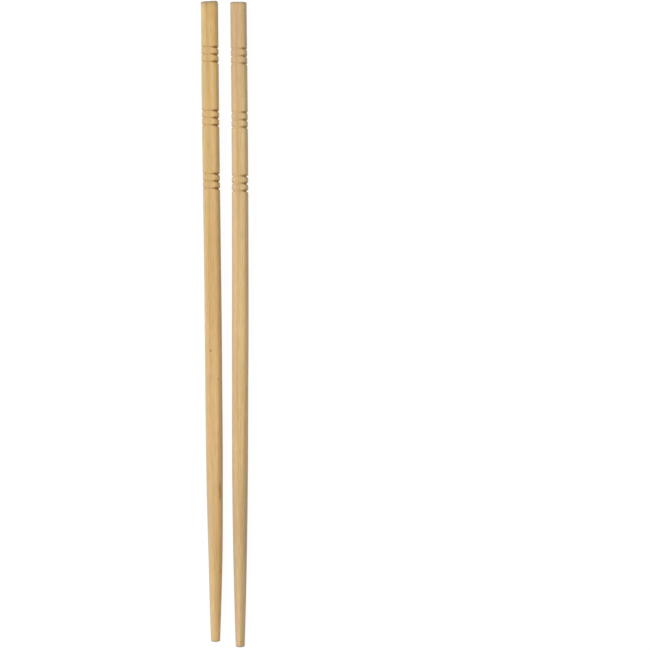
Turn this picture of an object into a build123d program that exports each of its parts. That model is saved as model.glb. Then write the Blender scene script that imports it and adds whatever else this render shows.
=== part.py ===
from build123d import *
from math import cos, radians, sin, tan
import os

# Pair of bamboo chopsticks lying side by side on a flat surface, in millimetres.
# +X goes across the pair, +Y towards the butt ends, and the surface is Z = 0.
# The origin is the middle of the pair's footprint on that surface.
# Each stick is one piece: a bar with rounded corners, turned to a slim round tip,
# with three groups of three V grooves cut round the handle.

# Grooves, the same cutter on both sticks
groove_groups = 3
grooves_per_group = 3
groove_angle = 76.0

# Turned tip, a steep pass and a shallow pass. Stations are distances from the tip
# end. The shallow pass meets the flats at the shoulder and runs out further up,
# along the bar's corners.
tip_chamfer = 0.5
belly_station = 27.0
shoulder_station = 62.0
turning_clearance = 1.5

# Saw cut at the butt end
butt_chamfer = 0.3
saw_allowance = 1.0

# The left stick leans more, so the tips lie further apart than the butt ends
left_stick = {
    "label": "left_chopstick",
    "butt_x": -5.67,
    "butt_y": 120.32,
    "length": 238.82,
    "lean": 0.6,
    "butt_slant": 3.2,
    "width": 6.27,
    "height": 5.9,
    "corner_radius": 1.75,
    "tip_radius": 1.72,
    "belly_radius": 2.57,
    "shoulder_radius": 3.11,
    "turning_offset": -0.06,
    "groove_root_radius": 2.7,
    "groove_slant": -2.0,
    "first_group": 19.75,
    "group_pitch": 23.55,
    "groove_pitch": 2.7,
}

right_stick = {
    "label": "right_chopstick",
    "butt_x": 5.43,
    "butt_y": 120.1,
    "length": 240.62,
    "lean": 0.115,
    "butt_slant": 0.0,
    "width": 6.05,
    "height": 5.75,
    "corner_radius": 1.75,
    "tip_radius": 1.7,
    "belly_radius": 2.45,
    "shoulder_radius": 2.98,
    "turning_offset": -0.04,
    "groove_root_radius": 2.54,
    "groove_slant": -0.9,
    "first_group": 19.97,
    "group_pitch": 23.7,
    "groove_pitch": 2.75,
}


def groove_stations(stick):
    """Distances of the groove bottoms from the butt end."""
    stations = []
    for group in range(groove_groups):
        middle = stick["first_group"] + group * stick["group_pitch"]
        for groove in range(grooves_per_group):
            step = groove - (grooves_per_group - 1) / 2
            stations.append(middle + step * stick["groove_pitch"])
    return stations


def make_chopstick(stick):
    """One stick: rounded bar, sawn butt, turned tip and turned grooves."""
    length = stick["length"]
    clear_radius = stick["width"] / 2 + turning_clearance
    lean = radians(stick["lean"])
    butt_slant = radians(stick["butt_slant"])
    groove_slant = radians(stick["groove_slant"])

    # Across the stick at the butt end
    butt_centre = Vector(stick["butt_x"], stick["butt_y"], stick["height"] / 2)
    across = Vector(cos(lean), sin(lean), 0)
    to_butt = Vector(-sin(lean), cos(lean), 0)
    butt_plane = Plane(origin=butt_centre, x_dir=across, z_dir=to_butt)

    # Along the turning axis, a little off the middle of the bar, with its origin at the tip
    tip_centre = butt_centre + across * stick["turning_offset"] - to_butt * length
    profile_plane = Plane(origin=tip_centre, x_dir=across, z_dir=Vector(0, 0, 1))
    turning_axis = Axis(tip_centre, to_butt)

    # Saw cut, turned about the vertical where it isn't square to the stick
    saw_direction = to_butt * cos(butt_slant) - across * sin(butt_slant)
    saw_plane = Plane(origin=butt_centre, x_dir=Vector(0, 0, 1), z_dir=saw_direction)

    # Grooves, turned about the vertical in the same way
    groove_across = across * cos(groove_slant) + to_butt * sin(groove_slant)
    groove_direction = to_butt * cos(groove_slant) - across * sin(groove_slant)

    with BuildPart() as chopstick:
        # Bar with rounded corners, a little long at the butt end
        with BuildSketch(butt_plane.offset(saw_allowance)):
            RectangleRounded(stick["width"], stick["height"], stick["corner_radius"])
        extrude(amount=-(length + saw_allowance))

        # Turned envelope, from the flat tip end to clear of the bar's corners
        shallow_rise = stick["shoulder_radius"] - stick["belly_radius"]
        shallow_slope = shallow_rise / (shoulder_station - belly_station)
        run_out_end = shoulder_station + (clear_radius - stick["shoulder_radius"]) / shallow_slope
        with BuildSketch(profile_plane):
            with BuildLine():
                Polyline(
                    (0, 0),
                    (stick["tip_radius"] - tip_chamfer, 0),
                    (stick["tip_radius"], tip_chamfer),
                    (stick["belly_radius"], belly_station),
                    (clear_radius, run_out_end),
                    (clear_radius, length + saw_allowance),
                    (0, length + saw_allowance),
                    close=True,
                )
            make_face()
        revolve(axis=turning_axis, mode=Mode.INTERSECT)

        # Sawn butt with its edge lightly broken
        split(bisect_by=saw_plane, keep=Keep.BOTTOM)
        butt_face = chopstick.faces().sort_by(Axis.Y)[-1]
        chamfer(butt_face.edges(), butt_chamfer)

        # V grooves, deep at the corners and shallow on the flats
        groove_depth = clear_radius - stick["groove_root_radius"]
        half_mouth = groove_depth * tan(radians(groove_angle / 2))
        for station in groove_stations(stick):
            groove_centre = tip_centre + to_butt * (length - station)
            groove_plane = Plane(origin=groove_centre, x_dir=groove_across, z_dir=Vector(0, 0, 1))
            with BuildSketch(groove_plane):
                with BuildLine():
                    Polyline(
                        (stick["groove_root_radius"], 0),
                        (clear_radius, -half_mouth),
                        (clear_radius, half_mouth),
                        close=True,
                    )
                make_face()
            revolve(axis=Axis(groove_centre, groove_direction), mode=Mode.SUBTRACT)

    chopstick.part.label = stick["label"]
    return chopstick.part


os.makedirs("parts", exist_ok=True)

left_chopstick = make_chopstick(left_stick)
export_step(left_chopstick, "parts/left_chopstick.step")

right_chopstick = make_chopstick(right_stick)
export_step(right_chopstick, "parts/right_chopstick.step")
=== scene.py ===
import math

import bpy
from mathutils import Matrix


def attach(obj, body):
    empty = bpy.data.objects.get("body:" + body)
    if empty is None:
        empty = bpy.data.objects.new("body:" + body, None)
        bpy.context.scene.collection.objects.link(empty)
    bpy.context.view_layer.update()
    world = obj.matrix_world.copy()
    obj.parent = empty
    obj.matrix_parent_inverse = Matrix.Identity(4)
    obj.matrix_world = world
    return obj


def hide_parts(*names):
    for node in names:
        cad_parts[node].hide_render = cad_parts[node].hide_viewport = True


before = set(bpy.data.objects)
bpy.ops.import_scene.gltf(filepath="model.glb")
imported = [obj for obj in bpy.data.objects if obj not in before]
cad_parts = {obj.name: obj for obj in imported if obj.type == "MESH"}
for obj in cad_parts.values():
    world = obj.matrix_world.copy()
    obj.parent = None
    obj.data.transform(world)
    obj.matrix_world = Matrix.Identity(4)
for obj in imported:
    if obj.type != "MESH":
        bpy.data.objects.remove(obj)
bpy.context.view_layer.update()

print("frame loaded:", ", ".join(sorted(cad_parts)))


# What a user would change, in metres and radians. The slight bow of each stick and the
# change in its width are in millimetres, at equal steps from the tip end to the butt end

leftStick = {
    "name": "honey_stick",
    "node": "left_chopstick",
    "slot": "honey_bamboo",
    "buttX": -0.00567,
    "buttY": 0.12032,
    "length": 0.23882,
    "lean": math.radians(0.6),
    "buttSlant": math.radians(3.2),
    "grooveSlant": math.radians(-2.0),
    "width": 0.00627,
    "height": 0.0059,
    "tipRadius": 0.00172,
    "bellyRadius": 0.00255,
    "shoulderRadius": 0.00311,
    "turningOffset": -0.00006,
    "groups": [
        {"stations": (0.01697, 0.01967, 0.02237), "root": 0.00271, "offset": -0.00004},
        {"stations": (0.04062, 0.04332, 0.04602), "root": 0.00266, "offset": -0.00005},
        {"stations": (0.06416, 0.06686, 0.06956), "root": 0.00269, "offset": -0.00008},
    ],
    "bow": (-0.17, 0.13, 0.11, 0.1, 0.13, 0.09, -0.02, -0.06, -0.02),
    "swell": (-0.04, -0.06, -0.07, -0.04, 0.0, -0.04, 0.03, 0.1, 0.02),
}

rightStick = {
    "name": "pale_stick",
    "node": "right_chopstick",
    "slot": "pale_bamboo",
    "buttX": 0.00543,
    "buttY": 0.1201,
    "length": 0.24062,
    "lean": math.radians(0.115),
    "buttSlant": 0.0,
    "grooveSlant": math.radians(-0.9),
    "width": 0.00605,
    "height": 0.00575,
    "tipRadius": 0.0017,
    "bellyRadius": 0.00243,
    "shoulderRadius": 0.00298,
    "turningOffset": -0.00002,
    "groups": [
        {"stations": (0.01733, 0.02008, 0.02283), "root": 0.00258, "offset": 0.00001},
        {"stations": (0.04106, 0.04381, 0.04656), "root": 0.00255, "offset": -0.00002},
        {"stations": (0.06475, 0.0675, 0.07025), "root": 0.00249, "offset": -0.00011},
    ],
    "bow": (-0.09, -0.06, -0.03, 0.05, 0.16, 0.2, 0.17, -0.01, -0.28),
    "swell": (-0.04, -0.08, -0.1, -0.06, 0.09, 0.06, 0.0, -0.03, 0.0),
}

# both sticks are cut with the same tools
tools = {
    "cornerRadius": 0.00175,
    "cornerSegments": 24,
    "barSpare": 1.2,
    "bellyStation": 0.027,
    "shoulderStation": 0.062,
    "runOutSlope": 0.012,
    "clearance": 0.00015,
    "tipEdge": 0.00038,
    "tipCrown": 0.00024,
    "tipEdgeSteps": 6,
    "grooveAngle": math.radians(76),
    "grooveClearance": 0.0006,
    "slantFrom": 0.6,
    "sawAllowance": 0.0012,
    "buttEdge": 0.00028,
    "buttEdgeSegments": 4,
    "smoothAngle": math.radians(35),
}

# how finely the surface is divided, how near counts as touching and how far a press reaches
meshing = {
    "columns": 96,
    "grooveColumns": 384,
    "grooveRings": 11,
    "grooveReach": 0.00085,
    "taperRing": 0.0012,
    "plainRing": 0.0024,
    "plainFrom": 0.124,
    "seedSize": 0.001,
    "mergeWithin": 0.000002,
    "onCut": 0.000002,
    "pressLimit": 0.003,
}

millimetresPerMetre = 1000


# Small helpers for working by operator

def pickNothing():
    if bpy.context.object and bpy.context.object.mode != "OBJECT":
        bpy.ops.object.mode_set(mode="OBJECT")
    bpy.ops.object.select_all(action="DESELECT")


def pickOnly(piece):
    pickNothing()
    piece.select_set(True)
    bpy.context.view_layer.objects.active = piece


def selectEdges(piece, wanted):
    # wanted answers for the places of an edge's two ends, and the piece is left in edit mode
    bpy.ops.object.mode_set(mode="EDIT")
    bpy.ops.mesh.select_mode(type="EDGE")
    bpy.ops.mesh.select_all(action="DESELECT")
    bpy.ops.object.mode_set(mode="OBJECT")
    places = [vertex.co for vertex in piece.data.vertices]
    for edge in piece.data.edges:
        edge.select = wanted([places[i] for i in edge.vertices])
    bpy.ops.object.mode_set(mode="EDIT")


def applyModifier(piece, kind, **values):
    modifier = piece.modifiers.new(kind.lower(), kind)
    for key, value in values.items():
        setattr(modifier, key, value)
    pickOnly(piece)
    bpy.ops.object.modifier_apply(modifier=modifier.name)


# The shape of a stick, from its tip end at y = 0 to its butt end

def turnedRadius(stick, y):
    # a swelling curve up to the shoulder, then a straight run-out along the corners
    belly, shoulder = tools["bellyStation"], tools["shoulderStation"]
    tipRadius, shoulderRadius = stick["tipRadius"], stick["shoulderRadius"]
    if y > shoulder:
        return shoulderRadius + (y - shoulder) * tools["runOutSlope"]
    slopeToBelly = (stick["bellyRadius"] - tipRadius) / belly
    slopeToShoulder = (shoulderRadius - tipRadius) / shoulder
    bend = (slopeToBelly - slopeToShoulder) / (shoulder - belly)
    return tipRadius + (slopeToBelly + bend * belly) * y - bend * y * y


def cornerReach(stick):
    # from the stick's middle to the outside of its rounded corners
    radius = tools["cornerRadius"]
    return math.hypot(stick["width"] / 2 - radius, stick["height"] / 2 - radius) + radius


def ringStations(stick):
    # close rings in the grooves, wider ones along the taper and the plain handle
    length, reach, rings = stick["length"], meshing["grooveReach"], meshing["grooveRings"]
    grooves = [length - fromButt for group in stick["groups"] for fromButt in group["stations"]]
    stations = []
    for groove in grooves:
        for ring in range(-rings, rings + 1):
            stations.append(groove + reach * ring / rings)
    taperRing = meshing["taperRing"]
    y = tools["tipEdge"] + taperRing / 2
    while y < length - taperRing:
        if all(abs(y - groove) > reach + taperRing / 4 for groove in grooves):
            stations.append(y)
        y += taperRing if y < meshing["plainFrom"] else meshing["plainRing"]
    stations.append(length + tools["sawAllowance"])
    return sorted(stations)


def spinProfile(name, points, axisX, steps):
    # one vertex pulled from point to point, then spun about the turning axis
    pickNothing()
    startRadius, startY = points[0]
    bpy.ops.mesh.primitive_plane_add(size=meshing["seedSize"], location=(axisX + startRadius, startY, 0))
    piece = bpy.context.object
    piece.name = name
    bpy.ops.object.transform_apply(location=True, rotation=True, scale=True)
    bpy.ops.object.mode_set(mode="EDIT")
    bpy.ops.mesh.select_mode(type="VERT")
    bpy.ops.mesh.select_all(action="SELECT")
    bpy.ops.mesh.merge(type="CENTER")
    for (radius, y), (nextRadius, nextY) in zip(points, points[1:]):
        step = (nextRadius - radius, nextY - y, 0)
        bpy.ops.mesh.extrude_region_move(TRANSFORM_OT_translate={"value": step})
    bpy.ops.mesh.select_all(action="SELECT")
    bpy.ops.mesh.spin(
        steps=steps, angle=math.tau, use_auto_merge=True, center=(axisX, 0, 0), axis=(0, 1, 0)
    )
    bpy.ops.mesh.select_all(action="SELECT")
    bpy.ops.mesh.remove_doubles(threshold=meshing["mergeWithin"])
    bpy.ops.mesh.normals_make_consistent(inside=False)
    bpy.ops.object.mode_set(mode="OBJECT")
    return piece


def makeBlank(stick):
    # the turned blank, open at the butt end, with its tip end crowned and its edge rounded
    edge, crown, steps = tools["tipEdge"], tools["tipCrown"], tools["tipEdgeSteps"]
    crownRadius = stick["tipRadius"] - edge
    points = [(0, 0), (crownRadius / 2, crown / 4), (crownRadius, crown)]
    for step in range(1, steps + 1):
        turn = math.pi / 2 * step / steps
        points.append((crownRadius + edge * math.sin(turn), crown + edge * (1 - math.cos(turn))))
    widest = cornerReach(stick) + tools["clearance"]
    for y in ringStations(stick):
        points.append((min(turnedRadius(stick, y), widest), y))
    return spinProfile(stick["name"], points, stick["turningOffset"], meshing["columns"])


def makeBar(stick):
    # the planed bar that gives the blank its flats and rounded corners
    pickNothing()
    barLength = stick["length"] * tools["barSpare"]
    bpy.ops.mesh.primitive_cube_add(
        size=1, location=(0, stick["length"] / 2, 0), scale=(stick["width"], barLength, stick["height"])
    )
    bar = bpy.context.object
    bpy.ops.object.transform_apply(location=True, rotation=True, scale=True)
    selectEdges(bar, lambda ends: abs(ends[0].y - ends[1].y) > barLength / 2)
    bpy.ops.mesh.bevel(
        offset=tools["cornerRadius"], offset_type="OFFSET", segments=tools["cornerSegments"], affect="EDGES"
    )
    bpy.ops.object.mode_set(mode="OBJECT")
    return bar


def makeGrooveForm(stick):
    # nine V rings round the bar, all joined
    clear = cornerReach(stick) + tools["grooveClearance"]
    rings = []
    for group in stick["groups"]:
        root = group["root"]
        halfMouth = (clear - root) * math.tan(tools["grooveAngle"] / 2)
        for fromButt in group["stations"]:
            bottom = stick["length"] - fromButt
            points = [(clear, bottom - halfMouth), (root, bottom), (clear, bottom + halfMouth)]
            rings.append(spinProfile("groove_ring", points, group["offset"], meshing["grooveColumns"]))
    pickOnly(rings[0])
    for ring in rings[1:]:
        ring.select_set(True)
    bpy.ops.object.join()
    return rings[0]


def pressOnto(piece, form):
    # each point slides inwards along its normal until it meets the form
    applyModifier(
        piece, "SHRINKWRAP", target=form, wrap_method="PROJECT", use_negative_direction=True,
        use_positive_direction=False, project_limit=meshing["pressLimit"],
    )
    bpy.data.objects.remove(form)


def markCutDepth(piece, before):
    # how far the grooves went into the wood, kept for the material
    depth = piece.data.attributes.new("cutDepth", "FLOAT", "POINT")
    for index, vertex in enumerate(piece.data.vertices):
        depth.data[index].value = (vertex.co - before[index]).length


def sawButt(piece, stick):
    # cuts the spare end off, a little off square, closes it and rounds its edge
    length, slant = stick["length"], stick["buttSlant"]
    normal = (-math.sin(slant), math.cos(slant), 0)
    pickOnly(piece)
    bpy.ops.object.mode_set(mode="EDIT")
    bpy.ops.mesh.select_mode(type="VERT")
    bpy.ops.mesh.select_all(action="SELECT")
    bpy.ops.mesh.bisect(plane_co=(0, length, 0), plane_no=normal, clear_outer=True, use_fill=True)
    bpy.ops.mesh.select_all(action="DESELECT")
    bpy.ops.object.mode_set(mode="OBJECT")
    selectEdges(piece, lambda ends: all(
        abs(end.x * normal[0] + (end.y - length) * normal[1]) < meshing["onCut"] for end in ends
    ))
    bpy.ops.mesh.bevel(
        offset=tools["buttEdge"], offset_type="OFFSET", segments=tools["buttEdgeSegments"], affect="EDGES"
    )
    bpy.ops.mesh.select_all(action="SELECT")
    bpy.ops.mesh.normals_make_consistent(inside=False)
    bpy.ops.object.mode_set(mode="OBJECT")


def bendStick(piece, stick):
    # a lattice of two columns moves the left and right sides by the bow and half the swell,
    # and skews the grooved handle so that its grooves run a little off square
    stations = len(stick["bow"])
    pickNothing()
    bpy.ops.object.add(type="LATTICE", location=(0, stick["length"] / 2, 0))
    cage = bpy.context.object
    cage.scale = (stick["width"], stick["length"], stick["height"])
    cage.data.points_u, cage.data.points_v, cage.data.points_w = 2, stations, 1
    cage.data.interpolation_type_u = "KEY_LINEAR"
    cage.data.interpolation_type_v = "KEY_CATMULL_ROM"
    for index, point in enumerate(cage.data.points):
        station, side = divmod(index, 2)
        fromMiddle = side - 0.5
        move = stick["bow"][station] + fromMiddle * stick["swell"][station]
        point.co_deform.x += move / millimetresPerMetre / stick["width"]
        if station / (stations - 1) > tools["slantFrom"]:
            skew = fromMiddle * stick["width"] * math.tan(stick["grooveSlant"])
            point.co_deform.y += skew / stick["length"]
    applyModifier(piece, "LATTICE", object=cage)
    bpy.data.objects.remove(cage)


def tipPlace(stick):
    # the middle of the tip end, where the stick's own frame begins
    lean, length = stick["lean"], stick["length"]
    return (
        stick["buttX"] + math.sin(lean) * length,
        stick["buttY"] - math.cos(lean) * length,
        stick["height"] / 2,
    )


def layInPlace(piece, stick):
    piece.rotation_euler = (0, 0, stick["lean"])
    piece.location = tipPlace(stick)
    pickOnly(piece)
    bpy.ops.object.transform_apply(location=True, rotation=True, scale=True)


def makeStick(stick):
    piece = makeBlank(stick)
    pressOnto(piece, makeBar(stick))
    before = [vertex.co.copy() for vertex in piece.data.vertices]
    pressOnto(piece, makeGrooveForm(stick))
    markCutDepth(piece, before)
    bendStick(piece, stick)
    sawButt(piece, stick)
    layInPlace(piece, stick)
    bpy.ops.object.shade_smooth_by_angle(angle=tools["smoothAngle"])
    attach(piece, "root")
    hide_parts(stick["node"])
    print(stick["name"], "modelled:", len(piece.data.polygons), "faces")
    return piece


# Materials

# places are in the stick's own frame, and each step is a depth from the cut end with the
# share that is darkened there, partly by wear and partly by painted shade on the rounded edge
honeyWood = {
    "straw": (0.74, 0.515, 0.222, 1),
    "tan": (0.68, 0.438, 0.171, 1),
    "blush": (0.76, 0.47, 0.244, 1),
    "bundle": (0.50, 0.27, 0.085, 1),
    # the dark brown colour also gives the right side of the grooves a painted shade, and the fresh cut
    # colour gives their left side a painted light
    "burntAndGrooveShade": (0.42, 0.205, 0.012, 1),
    "freshCutLitSide": (0.70, 0.495, 0.235, 1),
    # this dark grey darkens the cut ends partly as wear and partly as painted shade, and the flanks near
    # the tip as painted shade
    "wearAndShade": (0.2, 0.185, 0.14, 1),
    "endGrain": (0.57, 0.40, 0.20, 1),
    "endBundle": (0.29, 0.165, 0.07, 1),
    # tints across the stick, with painted sheen on the left edge and painted shade toward the right side
    "acrossTintsAndShade": [
        (0.1, (0.95, 1.05, 1.18, 1)),
        (0.27, (1.04, 1, 0.97, 1)),
        (0.45, (1, 1, 0.96, 1)),
        (0.65, (1.03, 1, 1.03, 1)),
        (0.8, (1.08, 1.02, 0.92, 1)),
        (0.93, (0.98, 1.02, 0.95, 1)),
    ],
    "bundleShare": 0.5,
    "blushShare": 0.8,
    "grooveStainAndShadeShare": 0.64,
    "grooveShadeSpan": (-0.0011, 0.0005),
    "buttSteps": ((0.0016, 0.7), (0.004, 0.22), (0.06, 0.02)),
    "tipSteps": ((0.0012, 0.95), (0.0028, 0.15), (0.06, 0.02)),
    "leftFlankShade": 0.2,
    "rightFlankShade": 0.0,
    "shift": (0.013, 0.2, 0.004),
    "marks": [
        {"name": "small_knot", "place": (-0.00074, 0.1088, 0.003),
         "size": (0.00045, 0.0008, 0.0012), "share": 0.85},
        {"name": "fleck", "place": (0.0019, 0.0982, 0.003),
         "size": (0.0003, 0.0006, 0.0012), "share": 0.6},
        {"name": "brown_streak", "place": (0.0022, 0.0565, 0.0022),
         "size": (0.0006, 0.0042, 0.0018), "share": 0.6},
    ],
}

paleWood = {
    "straw": (0.74, 0.524, 0.262, 1),
    "tan": (0.68, 0.452, 0.204, 1),
    "blush": (0.76, 0.482, 0.283, 1),
    "bundle": (0.50, 0.29, 0.11, 1),
    # the dark brown colour also gives the right side of the grooves a painted shade, and the fresh cut
    # colour gives their left side a painted light
    "burntAndGrooveShade": (0.42, 0.25, 0.06, 1),
    "freshCutLitSide": (0.87, 0.71, 0.44, 1),
    # this dark grey darkens the cut ends partly as wear and partly as painted shade, and the flanks near
    # the tip as painted shade
    "wearAndShade": (0.2, 0.185, 0.14, 1),
    "endGrain": (0.58, 0.42, 0.23, 1),
    "endBundle": (0.30, 0.18, 0.08, 1),
    # tints across the stick, with painted sheen on the left edge and painted shade toward the right side
    "acrossTintsAndShade": [
        (0.1, (0.96, 1.03, 1.1, 1)),
        (0.28, (1.02, 0.98, 0.94, 1)),
        (0.5, (1.01, 1.02, 1, 1)),
        (0.75, (1.05, 1.05, 1.02, 1)),
        (0.88, (0.92, 0.94, 0.9, 1)),
    ],
    "bundleShare": 0.45,
    "blushShare": 0.7,
    "grooveStainAndShadeShare": 0.5,
    "grooveShadeSpan": (-0.0002, 0.0018),
    "buttSteps": ((0.0014, 0.5), (0.003, 0.15), (0.07, 0.08)),
    "tipSteps": ((0.0015, 0.75), (0.003, 0.2), (0.08, 0.09)),
    "leftFlankShade": 0.14,
    "rightFlankShade": 0.2,
    "shift": (0.301, 4.2, 0.146),
    "marks": [
        {"name": "reddish_spot", "place": (0.0004, 0.0023, 0.0017),
         "size": (0.0006, 0.0007, 0.0012), "share": 0.45},
        {"name": "dark_dot", "place": (0.0001, 0.0013, 0.0017),
         "size": (0.0003, 0.0003, 0.0012), "share": 0.5},
    ],
}

# how the grain is built, the same in both sticks. A pitch is in metres across the stick,
# along it and up, and a pair gives the values where a soft step starts and is full
grain = {
    "wanderPitch": (0.020, 0.085, 0.020),
    "wander": 0.0011,
    "bundlePitch": (0.00072, 0.19, 0.00072),
    "bundleScatter": 0.85,
    "bundleCore": (0.42, 0.16),
    "faintestBundle": 0.25,
    "bandPitch": (0.0012, 0.09, 0.0012),
    "bandDetail": 1.5,
    "bandRoughness": 0.4,
    "bandStep": (0.33, 0.67),
    "blushStep": (0.5, 0.68),
    "fibrePitch": (0.00016, 0.018, 0.00016),
    "fibreDetail": 2.0,
    "fibreRoughness": 0.6,
    "fibreContrast": 0.34,
    "fleckPitch": (0.0005, 0.0045, 0.0005),
    "fleckContrast": 0.3,
    "fleckTint": 0.2,
    "tonePitch": (0.010, 0.06, 0.010),
    "toneContrast": 0.24,
    "porePitch": (0.00042, 0.0085, 0.00042),
    "poreCore": (0.3, 0.1),
    "poreRarity": (0.6, 0.8),
    "bundleRelief": -0.45,
    "poreRelief": -0.7,
}

# the ragged edge of a mark, with its reach as a share of the mark's size
markEdge = {
    "pitch": (0.0003, 0.0012, 0.0003),
    "detail": 2.0,
    "raggedness": 0.9,
    "fade": (1.15, 0.45),
}

# how the surface is finished, the same on both sticks, with its painted shade and painted sheen
finish = {
    "poreShare": 0.3,
    "endBundleShare": 0.85,
    "endTurn": (0.8, 0.97),
    # the depth over which the grooves darken, partly their stain and partly painted shade in the recess
    "grooveStainAndShadeDepth": (0.00002, 0.0005),
    # the spans of the painted shade on the left and right flanks near the tip
    "leftFlankShadeSpan": (0.0004, -0.0014),
    "rightFlankShadeSpan": (0.0009, 0.0018),
    "flankShadeFromTip": (0.08, 0.04),
    # a painted sheen that greys the colour where the surface turns away
    "paintedSheenGrey": 0.5,
    "paintedSheenPower": 2.0,
    "gloss": 0.35,
    "roughness": 0.45,
    "fibreRoughness": 0.2,
    "reliefHeight": 0.000022,
}


def addNode(tree, kind, inputs=None, **settings):
    made = tree.nodes.new("ShaderNode" + kind)
    for key, value in settings.items():
        setattr(made, key, value)
    for key, value in (inputs or {}).items():
        if isinstance(value, bpy.types.NodeSocket):
            tree.links.new(value, made.inputs[key])
        else:
            made.inputs[key].default_value = value
    return made


def calculate(tree, operation, *values):
    return addNode(tree, "Math", dict(enumerate(values)), operation=operation).outputs[0]


def calculateVector(tree, operation, *vectors, output=0):
    made = addNode(tree, "VectorMath", dict(enumerate(vectors)), operation=operation)
    return made.outputs[output]


def scaled(tree, color, factor):
    made = addNode(tree, "VectorMath", {0: color, "Scale": factor}, operation="SCALE")
    return made.outputs[0]


def aroundOne(tree, value, contrast):
    # a value about a half turned into a factor about one
    return calculate(tree, "MULTIPLY_ADD", value, contrast, 1 - contrast / 2)


def softStep(tree, value, start, full):
    values = {"Value": value, "From Min": start, "From Max": full}
    return addNode(tree, "MapRange", values, interpolation_type="SMOOTHSTEP").outputs["Result"]


def mixColor(tree, factor, first, second):
    # sockets 6 and 7 are the colours of the Mix node, output 2 its result
    return addNode(tree, "Mix", {0: factor, 6: first, 7: second}, data_type="RGBA").outputs[2]


def paintOver(tree, under, mask, share, over):
    # a share of the colour over shows where the mask is
    return mixColor(tree, calculate(tree, "MULTIPLY", mask, share), under, over)


def channel(tree, color, name):
    return addNode(tree, "SeparateColor", {"Color": color}).outputs[name]


def noise(tree, place, pitch, detail=1.0, roughness=0.5):
    # soft noise that varies at the given pitch in each direction
    stretched = calculateVector(tree, "DIVIDE", place, pitch)
    values = {"Vector": stretched, "Scale": 1.0, "Detail": detail, "Roughness": roughness}
    return addNode(tree, "TexNoise", values).outputs


def cells(tree, place, pitch, scatter=1.0):
    # scattered dots, drawn out by the pitch in each direction
    stretched = calculateVector(tree, "DIVIDE", place, pitch)
    values = {"Vector": stretched, "Scale": 1.0, "Randomness": scatter}
    return addNode(tree, "TexVoronoi", values).outputs


def newGroup(name, inputs, outputs):
    group = bpy.data.node_groups.new(name, "ShaderNodeTree")
    for socketName in inputs:
        group.interface.new_socket(name=socketName, in_out="INPUT", socket_type="NodeSocketVector")
    for socketName in outputs:
        group.interface.new_socket(name=socketName, in_out="OUTPUT", socket_type="NodeSocketFloat")
    return group, group.nodes.new("NodeGroupInput"), group.nodes.new("NodeGroupOutput")


def grainGroup():
    # solid bamboo: vascular bundles along the stick, soft bands, fine fibres and slow tone
    names = ("Bundles", "Band", "Blush", "Pores", "Shade", "Tint", "Fibres", "Relief")
    group, source, sink = newGroup("bamboo_grain", ("Place", "Shift"), names)
    place = calculateVector(group, "ADD", source.outputs["Place"], source.outputs["Shift"])
    drift = noise(group, place, grain["wanderPitch"])["Color"]
    centred = calculateVector(group, "SUBTRACT", drift, (0.5, 0.5, 0.5))
    sideways = (grain["wander"], 0, grain["wander"])
    place = calculateVector(group, "ADD", place, calculateVector(group, "MULTIPLY", centred, sideways))

    dots = cells(group, place, grain["bundlePitch"], grain["bundleScatter"])
    core = softStep(group, dots["Distance"], *grain["bundleCore"])
    faintest = grain["faintestBundle"]
    strength = channel(group, dots["Color"], "Red")
    strength = calculate(group, "MULTIPLY_ADD", strength, 1 - faintest, faintest)
    bundles = calculate(group, "MULTIPLY", core, strength)

    bands = noise(group, place, grain["bandPitch"], grain["bandDetail"], grain["bandRoughness"])["Color"]
    band = softStep(group, channel(group, bands, "Red"), *grain["bandStep"])
    blush = softStep(group, channel(group, bands, "Green"), *grain["blushStep"])

    fibres = noise(group, place, grain["fibrePitch"], grain["fibreDetail"], grain["fibreRoughness"])["Fac"]
    flecks = noise(group, place, grain["fleckPitch"])
    tone = noise(group, place, grain["tonePitch"])["Fac"]
    shade = aroundOne(group, fibres, grain["fibreContrast"])
    shade = calculate(group, "MULTIPLY", shade, aroundOne(group, flecks["Fac"], grain["fleckContrast"]))
    shade = calculate(group, "MULTIPLY", shade, aroundOne(group, tone, grain["toneContrast"]))
    tint = aroundOne(group, channel(group, flecks["Color"], "Green"), grain["fleckTint"])

    dashes = cells(group, place, grain["porePitch"])
    core = softStep(group, dashes["Distance"], *grain["poreCore"])
    rare = softStep(group, channel(group, dashes["Color"], "Red"), *grain["poreRarity"])
    pores = calculate(group, "MULTIPLY", core, rare)
    relief = calculate(group, "MULTIPLY_ADD", bundles, grain["bundleRelief"], fibres)
    relief = calculate(group, "MULTIPLY_ADD", pores, grain["poreRelief"], relief)

    for name, value in zip(names, (bundles, band, blush, pores, shade, tint, fibres, relief)):
        group.links.new(value, sink.inputs[name])
    return group


def markGroup():
    # a soft-edged, slightly ragged spot at a place of its own
    group, source, sink = newGroup("wood_mark", ("Place", "Centre", "Size"), ("Mask",))
    place = source.outputs["Place"]
    rough = noise(group, place, markEdge["pitch"], markEdge["detail"])["Fac"]
    offset = calculateVector(group, "SUBTRACT", place, source.outputs["Centre"])
    offset = calculateVector(group, "DIVIDE", offset, source.outputs["Size"])
    reach = calculateVector(group, "LENGTH", offset, output="Value")
    reach = calculate(group, "SUBTRACT", reach, markEdge["raggedness"] / 2)
    ragged = calculate(group, "MULTIPLY_ADD", rough, markEdge["raggedness"], reach)
    group.links.new(softStep(group, ragged, *markEdge["fade"]), sink.inputs["Mask"])
    return group


def inStickFrame(tree, stick):
    # object coordinates taken back to the stick's own frame, with the tip end at y = 0
    place = addNode(tree, "TexCoord").outputs["Object"]
    values = {"Vector": place, "Location": tipPlace(stick), "Rotation": (0, 0, stick["lean"])}
    return addNode(tree, "Mapping", values, vector_type="TEXTURE").outputs["Vector"]


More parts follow.
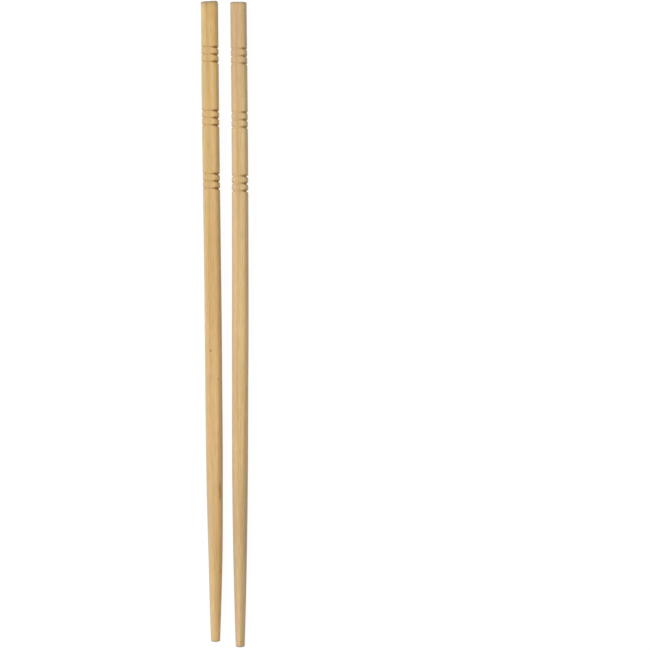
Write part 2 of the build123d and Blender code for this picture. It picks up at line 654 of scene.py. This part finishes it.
def acrossTintAndShade(tree, wood, stick, across):
    # tints across the stick from its left side to its right: the wood's own streaks in the middle,
    # a painted sheen on the lit left edge and painted shade toward the right side
    fromLeft = calculate(tree, "MULTIPLY_ADD", across, 1 / stick["width"], 0.5)
    ramp = addNode(tree, "ValToRGB", {"Fac": fromLeft})
    stops = ramp.color_ramp.elements
    while len(stops) < len(wood["acrossTintsAndShade"]):
        stops.new(0.5)  # its place comes next
    for stop, (position, tint) in zip(stops, wood["acrossTintsAndShade"]):
        stop.position, stop.color = position, tint
    return ramp.outputs["Color"]


def fadeFrom(tree, distance, steps):
    # darkened right at the cut end, partly by wear and partly by painted shade on the rounded edge,
    # then softer steps that fade out along the stick
    wearAndShade = 0
    for depth, share in steps:
        fade = calculate(tree, "MULTIPLY", softStep(tree, distance, depth, 0), share)
        wearAndShade = calculate(tree, "MAXIMUM", wearAndShade, fade)
    return wearAndShade


def endWearAndShade(tree, stick, wood, place, across):
    # the edges of both cut ends, darkened partly by wear and partly by painted shade, and painted
    # shade on the flanks near the tip
    slant = stick["buttSlant"]
    sawNormal = (math.sin(slant), -math.cos(slant), 0)
    fromSaw = calculateVector(tree, "DOT_PRODUCT", place, sawNormal, output="Value")
    fromSaw = calculate(tree, "ADD", fromSaw, stick["length"] * math.cos(slant))
    fromTip = addNode(tree, "SeparateXYZ", {"Vector": place}).outputs["Y"]
    atButt = fadeFrom(tree, fromSaw, wood["buttSteps"])
    atTip = fadeFrom(tree, fromTip, wood["tipSteps"])
    ends = calculate(tree, "MAXIMUM", atButt, atTip)
    left = softStep(tree, across, *finish["leftFlankShadeSpan"])
    left = calculate(tree, "MULTIPLY", left, wood["leftFlankShade"])
    right = softStep(tree, across, *finish["rightFlankShadeSpan"])
    right = calculate(tree, "MULTIPLY", right, wood["rightFlankShade"])
    nearTip = softStep(tree, fromTip, *finish["flankShadeFromTip"])
    flanks = calculate(tree, "MULTIPLY", calculate(tree, "MAXIMUM", left, right), nearTip)
    return calculate(tree, "MAXIMUM", ends, flanks)


def longGrain(tree, stick, wood, cut, across):
    # the wood along the stick, from its broad bands to its fine shade
    color = mixColor(tree, cut["Band"], wood["straw"], wood["tan"])
    color = paintOver(tree, color, cut["Blush"], wood["blushShare"], wood["blush"])
    color = paintOver(tree, color, cut["Bundles"], wood["bundleShare"], wood["bundle"])
    color = paintOver(tree, color, cut["Pores"], finish["poreShare"], wood["bundle"])
    color = calculateVector(tree, "MULTIPLY", color, acrossTintAndShade(tree, wood, stick, across))
    return scaled(tree, color, cut["Shade"])


def addEndGrain(tree, stick, wood, cut, color):
    # the sawn butt and the tip's end show the bundles end on
    share = finish["endBundleShare"]
    crossCut = paintOver(tree, wood["endGrain"], cut["Bundles"], share, wood["endBundle"])
    crossCut = scaled(tree, crossCut, cut["Shade"])
    toButt = (-math.sin(stick["lean"]), math.cos(stick["lean"]), 0)
    normal = addNode(tree, "TexCoord").outputs["Normal"]
    facing = calculateVector(tree, "DOT_PRODUCT", normal, toButt, output="Value")
    onEnd = softStep(tree, calculate(tree, "ABSOLUTE", facing), *finish["endTurn"])
    return mixColor(tree, onEnd, color, crossCut)


def makeBamboo(stick, wood, grainTree, markTree):
    material = bpy.data.materials.new(stick["slot"])
    material.use_nodes = True
    tree = material.node_tree
    shader = tree.nodes["Principled BSDF"]

    place = inStickFrame(tree, stick)
    across = addNode(tree, "SeparateXYZ", {"Vector": place}).outputs["X"]
    cut = addNode(tree, "Group", {"Place": place, "Shift": wood["shift"]}, node_tree=grainTree).outputs
    color = longGrain(tree, stick, wood, cut, across)
    for mark in wood["marks"]:
        values = {"Place": place, "Centre": mark["place"], "Size": mark["size"]}
        spot = addNode(tree, "Group", values, node_tree=markTree, label=mark["name"])
        color = paintOver(tree, color, spot.outputs["Mask"], mark["share"], wood["burntAndGrooveShade"])

    # the grooves darken the deeper they go, partly the stain of their cut wood and partly painted shade in
    # the recess, and they take a lighter copy of the wood on the left and a darker one on the right as
    # painted light and painted shade
    cutDepth = addNode(tree, "Attribute", attribute_name="cutDepth").outputs["Fac"]
    inGroove = softStep(tree, cutDepth, *finish["grooveStainAndShadeDepth"])
    shadedGrooveSide = softStep(tree, across, *wood["grooveShadeSpan"])
    grooveColor = mixColor(tree, shadedGrooveSide, wood["freshCutLitSide"], wood["burntAndGrooveShade"])
    color = paintOver(tree, color, inGroove, wood["grooveStainAndShadeShare"], grooveColor)
    color = mixColor(tree, endWearAndShade(tree, stick, wood, place, across), color, wood["wearAndShade"])
    color = addEndGrain(tree, stick, wood, cut, color)

    # a painted sheen: less saturated where the surface turns away from the view, except in the grooves
    paintedSheen = addNode(tree, "LayerWeight", {"Blend": 0.5}).outputs["Facing"]
    paintedSheen = calculate(tree, "POWER", paintedSheen, finish["paintedSheenPower"])
    paintedSheen = calculate(tree, "MULTIPLY", paintedSheen, calculate(tree, "SUBTRACT", 1.0, inGroove))
    saturation = calculate(tree, "MULTIPLY_ADD", paintedSheen, -finish["paintedSheenGrey"], 1.0)
    saturation = calculate(tree, "MULTIPLY", saturation, cut["Tint"])
    color = addNode(tree, "HueSaturation", {"Color": color, "Saturation": saturation}).outputs["Color"]
    tree.links.new(color, shader.inputs["Base Color"])
    shader.inputs["Specular IOR Level"].default_value = finish["gloss"]

    roughness = calculate(
        tree, "MULTIPLY_ADD", cut["Fibres"], finish["fibreRoughness"], finish["roughness"]
    )
    tree.links.new(roughness, shader.inputs["Roughness"])
    bump = addNode(tree, "Bump", {"Height": cut["Relief"], "Distance": finish["reliefHeight"]})
    tree.links.new(bump.outputs["Normal"], shader.inputs["Normal"])
    print(stick["slot"], "material made")
    return material


# Stage, light and camera

# a strength of 1 is white, and pixels count from the top left corner
stage = {
    "floorSize": 3.0,
    "floorColor": (0.86, 0.86, 0.86, 1),
    "white": (1, 1, 1, 1),
    "whiteShare": 0.9,
    "whiteGlow": 1.06,
    "keyTilt": math.radians(40),
    "keyDistance": 1.4,
    "keySize": 0.7,
    "keyPower": 10.75,
    "skyStrength": 0.508,
    "backdropStrength": 1.0,
}

view = {
    "imageSide": 650,
    "pixel": 0.0003735,
    "pairAtColumn": 224.66,
    "pairAtRow": 324.58,
    "distance": 0.6,
    "sensor": 0.036,
    "clipStart": 0.01,
    "focusHeight": 0.003,
}


def seenAsWhite(tree):
    # one for rays that show the background: from the camera, off gloss and through glass
    rays = addNode(tree, "LightPath").outputs
    seen = calculate(tree, "MAXIMUM", rays["Is Camera Ray"], rays["Is Glossy Ray"])
    return calculate(tree, "MAXIMUM", seen, rays["Is Transmission Ray"])


def whiteLight(tree, kind, strength):
    return addNode(tree, kind, {"Color": stage["white"], "Strength": strength}).outputs[0]


def mixShaders(tree, factor, first, second):
    return addNode(tree, "MixShader", {"Fac": factor, 1: first, 2: second}).outputs[0]


def makeFloor():
    pickNothing()
    bpy.ops.mesh.primitive_plane_add(size=stage["floorSize"], location=(0, 0, 0))
    floor = bpy.context.object
    floor.name = "floor"
    material = bpy.data.materials.new("paper_white")
    material.use_nodes = True
    tree = material.node_tree
    tree.nodes.clear()
    paper = addNode(tree, "BsdfDiffuse", {"Color": stage["floorColor"]}).outputs[0]
    glow = whiteLight(tree, "Emission", stage["whiteGlow"])
    # the rest of the paper's own shading keeps the shadow
    share = calculate(tree, "MULTIPLY", seenAsWhite(tree), stage["whiteShare"])
    addNode(tree, "OutputMaterial", {"Surface": mixShaders(tree, share, paper, glow)})
    floor.data.materials.append(material)


def makeLight():
    tilt, distance = stage["keyTilt"], stage["keyDistance"]
    data = bpy.data.lights.new("key", "AREA")
    data.shape = "SQUARE"
    data.size = stage["keySize"]
    data.energy = stage["keyPower"]
    key = bpy.data.objects.new("key", data)
    key.location = (-math.sin(tilt) * distance, 0, math.cos(tilt) * distance)
    key.rotation_euler = (0, -tilt, 0)
    bpy.context.scene.collection.objects.link(key)


def makeSky():
    world = bpy.data.worlds.new("sky")
    bpy.context.scene.world = world
    world.use_nodes = True
    tree = world.node_tree
    tree.nodes.clear()
    sky = whiteLight(tree, "Background", stage["skyStrength"])
    backdrop = whiteLight(tree, "Background", stage["backdropStrength"])
    addNode(tree, "OutputWorld", {"Surface": mixShaders(tree, seenAsWhite(tree), sky, backdrop)})


def makeCamera():
    # straight down over the middle of the picture, with the pair left of the middle
    middle = view["imageSide"] / 2
    sensorWidth = view["sensor"] * millimetresPerMetre
    data = bpy.data.cameras.new("camera")
    data.sensor_width = sensorWidth
    data.lens = sensorWidth * view["distance"] / (view["imageSide"] * view["pixel"])
    data.clip_start = view["clipStart"]
    camera = bpy.data.objects.new("camera", data)
    camera.location = (
        (middle - view["pairAtColumn"]) * view["pixel"],
        (view["pairAtRow"] - middle) * view["pixel"],
        view["distance"] + view["focusHeight"],
    )
    bpy.context.scene.collection.objects.link(camera)
    bpy.context.scene.camera = camera


makeCamera()
grainTree = grainGroup()
markTree = markGroup()
for stick, wood in ((leftStick, honeyWood), (rightStick, paleWood)):
    piece = makeStick(stick)
    piece.data.materials.append(makeBamboo(stick, wood, grainTree, markTree))
makeFloor()
makeLight()
makeSky()
bpy.context.scene.view_settings.view_transform = "Standard"
print("stage, light and camera set")
